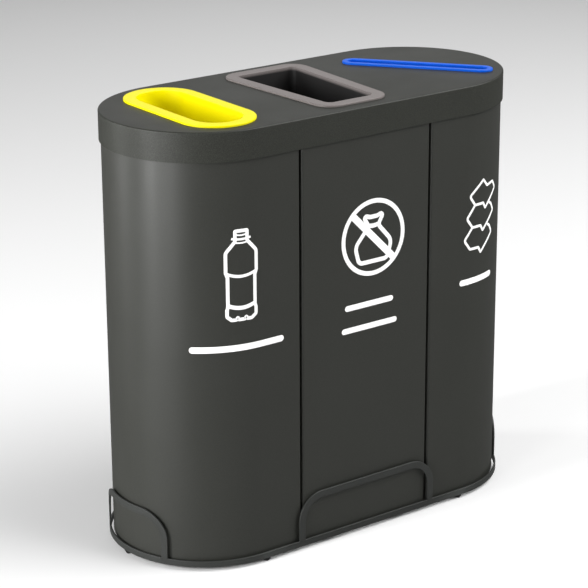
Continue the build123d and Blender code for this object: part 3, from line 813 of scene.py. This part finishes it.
tie = [RING_CENTRE + Vector((x, TIE_HEIGHT - TIE_SAG * (1 - (x / TIE_HALF) ** 2)))
       for x in range(-TIE_HALF, TIE_HALF + 1, 4)]
stroke(struck, tie, SACK_LINE, front=VINYL_OVERLAP)
rule(struck, -54, 69, 492.5, RULE_HEIGHT - 1)
rule(struck, -62, 79, 445.0, RULE_HEIGHT - 1)
bmesh.ops.recalc_face_normals(struck, faces=struck.faces)
piece("struck_sack_label_film", struck, white_vinyl, "middle_bin", ["middle_label"])

SHEET_LINE = 5.5
SHEET_SHIFT = 6
SHEET_DROP = 46
sheets = bmesh.new()
top_sheet = [(286, 647, 3, 3), (270, 668, 6, 4), (312, 696, 1, 2), (327, 681, 4, 3), (352, 684, 6, 4),
             (365, 668, 5, 4), (321, 634, 1, 2), (313, 646, 2, 3)]
lower_sheet = [(286, 647, 0, 0), (263, 621, 6, 4), (279, 600, 4, 3), (305, 599, 2, 3), (313, 587, 1, 2),
               (357, 621, 5, 4), (346, 637, 5, 4), (337, 642, 0, 0)]
stroke(sheets, rounded(*top_sheet), SHEET_LINE, closed=True)
for k in range(2):
    sheet = [(s - SHEET_SHIFT * k, z - SHEET_DROP * k, r, n) for s, z, r, n in lower_sheet]
    stroke(sheets, rounded(*sheet, closed=False), SHEET_LINE, front=VINYL_OVERLAP)
rule(sheets, 246, 352, 484, RULE_HEIGHT)
bmesh.ops.recalc_face_normals(sheets, faces=sheets.faces)
piece("paper_label_film", sheets, white_vinyl, "right_bin", ["right_label"])

# ---------------------------------------------------------------- lid
# One 1.5 mm steel sheet, cut out for the chutes, with a rounded edge and a 60 mm skirt rolled and
# welded on. Ground flush and coated in the same anthracite, where its flat top shows the grain.

LID_SHEET = 1.5
LID_EDGE = 3.0
CUT_EDGE = 0.3
STUD_HOLE = 2.0

lid_coat = powder_coat("anthracite powder coat on lid", "#252622", "#454741", 0.45, gloss=0.3, grain=1.4,
                       peel=0.4)

lid_low, lid_high = box_mm("lid_shell")
lid_radius = lid_high.y
lid_top = lid_high.z
lid_under = lid_top - LID_SHEET


def stadium(inset):
    """The lid's plan: two straight sides and two half circles."""
    radius = lid_radius - inset
    x = end_centre + radius
    return rounded(*[(i * x, j * radius, radius, ROUND_STEPS) for i, j in SQUARE])


# ---------------------------------------------------------------- chutes
# Three pressed steel rims that show what each bin takes: a broad yellow slot for bottles, a grey
# mouth and a narrow blue slot for paper. Folded from 2 mm sheet, each with a throat below.

CHUTE_SHEET = 2.0
CHUTE_LIP = 1.4
YELLOW_RIM = 26.0
GREY_RIM = 26.0
BLUE_RIM = 11.5
GREY_BACK = 101.0
GREY_FRONT = 81.0
GREY_CORNER = 40.0
BLUE_HALF_WIDTH = 23.5
BLUE_HALF_LENGTH = 160.0
BLUE_TURN = 38.4
MOUTH_STEPS = 24

yellow_low, yellow_high = box_mm("yellow_chute")
grey_high = box_mm("grey_chute")[1]
blue_low, blue_high = box_mm("blue_chute")
yellow_centre = (yellow_low + yellow_high) / 2
blue_centre = (blue_low + blue_high) / 2


def yellow_plan(inset):
    """A round-ended slot across the lid."""
    x, y = (yellow_high.x - yellow_low.x) / 2 - inset, yellow_high.y - inset
    return [p + yellow_centre.xy for p in rounded(
        *[(i * x, j * y, x, MOUTH_STEPS) for i, j in SQUARE])]


def grey_plan(inset):
    """A rounded trapezium, wider at the back."""
    lean = (GREY_BACK - GREY_FRONT) / (2 * grey_high.y)
    drawn_in = inset * math.sqrt(1 + lean ** 2)
    back, front = GREY_BACK - drawn_in - lean * inset, GREY_FRONT - drawn_in + lean * inset
    y = grey_high.y - inset
    corner = max(GREY_CORNER - inset, CHUTE_SHEET + 4)
    corners = ((-front, -y), (front, -y), (back, y), (-back, y))
    return rounded(*[(x, end, corner, MOUTH_STEPS) for x, end in corners])


def blue_plan(inset):
    """A narrow round-ended slot, turned on the lid."""
    x, y = BLUE_HALF_WIDTH - inset, BLUE_HALF_LENGTH - inset
    turn = Matrix.Rotation(math.radians(BLUE_TURN), 2)
    return [turn @ p + blue_centre.xy for p in rounded(
        *[(i * x, j * y, x, MOUTH_STEPS) for i, j in SQUARE])]


chutes = {
    "yellow": (yellow_plan, YELLOW_RIM, powder_coat("traffic yellow powder coat", "#faee00", "#fff600", 0.38,
                                                    gloss=0.2, peel=0.2)),
    # the grey chute's throat carries a painted shade: near-black below 903.5 mm, standing in for the shade
    # inside it
    "grey": (grey_plan, GREY_RIM, powder_coat("dusty grey powder coat", "#78716f", "#8b8483", 0.42,
                                              gloss=0.4, peel=0.25, throat=(903.5, "#262525"))),
    "blue": (blue_plan, BLUE_RIM, powder_coat("signal blue powder coat", "#045ad8", "#1a70ec", 0.36,
                                              gloss=0.2, peel=0.2)),
}
for colour, (plan, rim, coat) in chutes.items():
    low, high = box_mm(colour + "_chute")
    section = eased((0, lid_top), (0, high.z, CHUTE_LIP), (rim, high.z, CHUTE_LIP), (rim, low.z, 0.6),
                    (rim - CHUTE_SHEET, low.z, 0.6), (rim - CHUTE_SHEET, high.z - CHUTE_SHEET, 0.5),
                    (CHUTE_SHEET, high.z - CHUTE_SHEET, 0.5), (CHUTE_SHEET, lid_top), radius=0.3, steps=5)
    piece(colour + "_chute_pressing", loft(plan, section), coat, "lid",
          [colour + "_chute"])

# ---------------------------------------------------------------- lid sheet
# The lid's sheet itself, with a cutout under each chute's rim and a hole for each weld stud.

stud_low, stud_high = box_mm("chute_studs")
yellow_line = (yellow_high.x - yellow_low.x) / 2 - YELLOW_RIM / 2
yellow_step = (yellow_high.y - (yellow_high.x - yellow_low.x) / 2) * 2 / 3
grey_step = grey_high.y / 2
blue_line = BLUE_HALF_WIDTH - BLUE_RIM / 2
blue_step = (BLUE_HALF_LENGTH - BLUE_HALF_WIDTH) * 2 / 3
stud_spots = [Vector((yellow_centre.x + i * yellow_line, j * yellow_step))
              for i in (-1, 1) for j in (-1, 1)]
for j in (-1, 1):
    half = (GREY_BACK + GREY_FRONT) / 2 + (GREY_BACK - GREY_FRONT) / 2 * j * grey_step / grey_high.y
    stud_spots += [Vector((i * (half - GREY_RIM / 2), j * grey_step)) for i in (-1, 1)]
stud_spots += [Matrix.Rotation(math.radians(BLUE_TURN), 2) @ Vector((i * blue_line, j * blue_step))
               + blue_centre.xy for i in (-1, 1) for j in (-1, 1)]

shell = bmesh.new()


def row(points, z):
    """A closed row of corners at a height."""
    return [shell.verts.new((x * MM, y * MM, z * MM)) for x, y in points]


def bridge(rows):
    """Skin between rows of corners."""
    for a, b in zip(rows, rows[1:]):
        for i in range(len(a)):
            j = (i + 1) % len(a)
            shell.faces.new((a[i], a[j], b[j], b[i]))


skirt_section = rounded((LID_EDGE + 3, lid_top, 0, 0), (0, lid_top, LID_EDGE, 6), (0, lid_low.z, 0.4, 3),
                        (LID_SHEET, lid_low.z, 0.4, 3), (LID_SHEET, lid_under, LID_EDGE - LID_SHEET, 5),
                        (LID_EDGE + 3, lid_under, 0, 0), closed=False)
skirt = [row(stadium(inset), z) for inset, z in skirt_section]
bridge(skirt)
tops, unders = [skirt[0]], [skirt[-1]]
cut_section = ((-CUT_EDGE, lid_top), (0, lid_top - CUT_EDGE), (0, lid_under + CUT_EDGE),
               (-CUT_EDGE, lid_under))
holes = [lambda inset, plan=plan, rim=rim: plan(rim - CHUTE_SHEET - 1.5 + inset)
         for plan, rim, _ in chutes.values()]
holes += [lambda inset, spot=spot: [spot + Vector(p) for p in disc(STUD_HOLE - inset, (0, 0), steps=16)[:-1]]
          for spot in stud_spots]
for hole in holes:
    rows = [row(hole(inset), z) for inset, z in cut_section]
    bridge(rows)
    tops.append(rows[0])
    unders.append(rows[-1])
for loops in (tops, unders):
    edges = [shell.edges.get((a[i], a[(i + 1) % len(a)])) for a in loops for i in range(len(a))]
    bmesh.ops.triangle_fill(shell, use_beauty=True, edges=edges)
bmesh.ops.recalc_face_normals(shell, faces=shell.faces)
piece("lid_sheet", shell, lid_coat, "lid", ["lid_shell"])

# ---------------------------------------------------------------- lid stiffeners and buffers
# Two steel angles welded across the lid's underside, and twelve rubber discs that rest on the rims.

piece("lid_angles", cad_copy("lid_ribs"), bin_coat, "lid", ["lid_ribs"], edge=BAR_EDGE)

BUFFER_RADIUS = 6.0
BUFFER_EDGE = 0.7
buffer_low, buffer_high = box_mm("lid_buffers")
end_line = bin_radius - SHEET - SLIP - RIM_FLANGE / 2
side_line = side_x + 2 * SHEET + SLIP + RIM_FLANGE / 2
middle_line = half_width - 2 * SHEET - SLIP - RIM_FLANGE / 2
spots = [(0, -end_line), (0, end_line), (-middle_line, 0), (middle_line, 0)]
for side in (-1, 1):
    spots += [(side * (end_centre + end_line), 0), (side * side_line, 0),
              (side * quarter_x, -end_line), (side * quarter_x, end_line)]
shape = turned([(x, y, buffer_low.z) for x, y in spots], black_rubber, 32, BUFFER_RADIUS, BUFFER_RADIUS,
               buffer_high.z - buffer_low.z, BUFFER_EDGE)
piece("lid_rubber_buffers", shape, black_rubber, "lid", ["lid_buffers"])

# ---------------------------------------------------------------- chute studs, washers and nuts
# Each chute is pulled down on the lid by four M3 weld studs, with a washer and a nut below.
# Rolled threads, zinc plated.

STUD_RADIUS = 1.5
THREAD_PITCH = 0.5
THREAD_DEPTH = 0.3
NUT_FLATS = 5.5
NUT_HEIGHT = 2.4
WASHER_RADIUS = 3.5
WASHER_HEIGHT = 0.5

stud_tree, given = new_tree("threaded studs", Radius="Float", Length="Float", Pitch="Float",
                            Thread_Depth="Float")
core = add(stud_tree, "ShaderNodeMath", {0: given["Radius"], 1: given["Thread Depth"]},
           operation="SUBTRACT")
shank = add(stud_tree, "GeometryNodeMeshCone", {
    "Vertices": 16, "Radius Bottom": core, "Radius Top": core, "Depth": given["Length"]}, fill_type="NGON")
turns = add(stud_tree, "ShaderNodeMath", {0: given["Length"], 1: given["Pitch"]}, operation="DIVIDE")
helix = add(stud_tree, "GeometryNodeCurveSpiral", {
    "Resolution": 12, "Rotations": turns, "Start Radius": core, "End Radius": core,
    "Height": given["Length"]})
crest = add(stud_tree, "GeometryNodeCurvePrimitiveCircle", {"Resolution": 3,
                                                            "Radius": given["Thread Depth"]})
thread = add(stud_tree, "GeometryNodeCurveToMesh", {"Curve": helix, "Profile Curve": crest,
                                                    "Fill Caps": True})
stud = add(stud_tree, "GeometryNodeJoinGeometry", {"Geometry": [shank, thread]})
studs = add(stud_tree, "GeometryNodeInstanceOnPoints", {"Points": given["Geometry"], "Instance": stud})
end_tree(stud_tree, given, studs)
shape = grow(stud_tree, [(x, y, stud_low.z) for x, y in stud_spots], [], zinc, Radius=STUD_RADIUS * MM,
             Length=(stud_high.z - stud_low.z - THREAD_DEPTH) * MM, Pitch=THREAD_PITCH * MM,
             Thread_Depth=THREAD_DEPTH * MM)
bmesh.ops.recalc_face_normals(shape, faces=shape.faces)
piece("threaded_weld_studs", shape, zinc, "lid", ["chute_studs"])

nut_corner = NUT_FLATS / 2 / math.cos(math.radians(30))
nut_base = lid_under - WASHER_HEIGHT - NUT_HEIGHT
nuts = turned([(x, y, nut_base) for x, y in stud_spots], zinc, 6, nut_corner, nut_corner, NUT_HEIGHT, 0.25)
washers = turned([(x, y, lid_under - WASHER_HEIGHT) for x, y in stud_spots], zinc, 24, WASHER_RADIUS,
                 WASHER_RADIUS, WASHER_HEIGHT, 0.1)
piece("hexagon_nuts", nuts, zinc, "lid", ["chute_nuts"])
piece("plain_washers", washers, zinc, "lid", ["chute_nuts"])

# ---------------------------------------------------------------- studio
# A plain white floor, two soft strips and a low one on the left, a broad high fill on the right
# and a weak light behind. The floor stays out of the reflections, which keeps the walls dark.

FLOOR_HALF = 30.0
floor_mesh = bpy.data.meshes.new("studio floor")
floor_mesh.from_pydata([(i * FLOOR_HALF, j * FLOOR_HALF, 0.0) for i, j in SQUARE], [], [(0, 1, 2, 3)])
floor = bpy.data.objects.new("studio_floor", floor_mesh)
bpy.context.scene.collection.objects.link(floor)
floor_paint = bpy.data.materials.new("matt white floor")
floor_paint.use_nodes = True
floor_shader = floor_paint.node_tree.nodes["Principled BSDF"]
floor_shader.inputs["Base Color"].default_value = linear("#f4f4f4")
floor_shader.inputs["Roughness"].default_value = 0.9
floor_shader.inputs["Specular IOR Level"].default_value = 0.1
floor_mesh.materials.append(floor_paint)
floor.visible_glossy = False

world = bpy.data.worlds.new("studio")
bpy.context.scene.world = world
world.use_nodes = True
world.node_tree.nodes["Background"].inputs["Color"].default_value = linear("#ffffff")
world.node_tree.nodes["Background"].inputs["Strength"].default_value = 0.14


def softbox(name, azimuth, elevation, distance, width, height, power):
    """A rectangular softbox aimed at the middle of the stand."""
    light = bpy.data.lights.new(name, "AREA")
    light.shape = "RECTANGLE"
    light.size, light.size_y, light.energy = width, height, power
    obj = bpy.data.objects.new(name, light)
    bpy.context.scene.collection.objects.link(obj)
    a, e = math.radians(azimuth), math.radians(elevation)
    away = Vector((math.cos(a) * math.cos(e), math.sin(a) * math.cos(e), math.sin(e)))
    obj.location = Vector((0, 0, 0.5)) + away * distance
    obj.rotation_euler = away.to_track_quat("Z", "Y").to_euler()


softbox("key", 178, 10, 5.0, 0.8, 3.5, 260)
softbox("side", 140, 10, 5.0, 1.0, 3.5, 110)
softbox("low", 200, 5, 5.0, 1.2, 2.5, 90)
softbox("fill", 318, 45, 5.5, 5.0, 5.0, 420)
softbox("back", 60, 25, 6.0, 4.0, 3.0, 22)

VIEW_AZIMUTH = -36.46
VIEW_ELEVATION = 19.21
VIEW_ROLL = -0.311
VIEW_POINT = (-2.6188, -3.4963, 1.9821)
az, el, roll = (math.radians(v) for v in (VIEW_AZIMUTH, VIEW_ELEVATION, VIEW_ROLL))
back = Vector((math.sin(az) * math.cos(el), -math.cos(az) * math.cos(el), math.sin(el)))
level_right = (-back).cross(Vector((0, 0, 1))).normalized()
level_up = level_right.cross(-back)
right = math.cos(roll) * level_right + math.sin(roll) * level_up
up = -math.sin(roll) * level_right + math.cos(roll) * level_up
camera_data = bpy.data.cameras.new("camera")
camera_data.lens = 136.11
camera_data.sensor_width = 36.0
camera_data.clip_end = 200.0
camera = bpy.data.objects.new("camera", camera_data)
bpy.context.scene.collection.objects.link(camera)
turned_to_view = Matrix((right, up, back)).transposed().to_4x4()
camera.matrix_world = Matrix.Translation(VIEW_POINT) @ turned_to_view
bpy.context.scene.camera = camera
bpy.context.scene.view_settings.view_transform = "Standard"
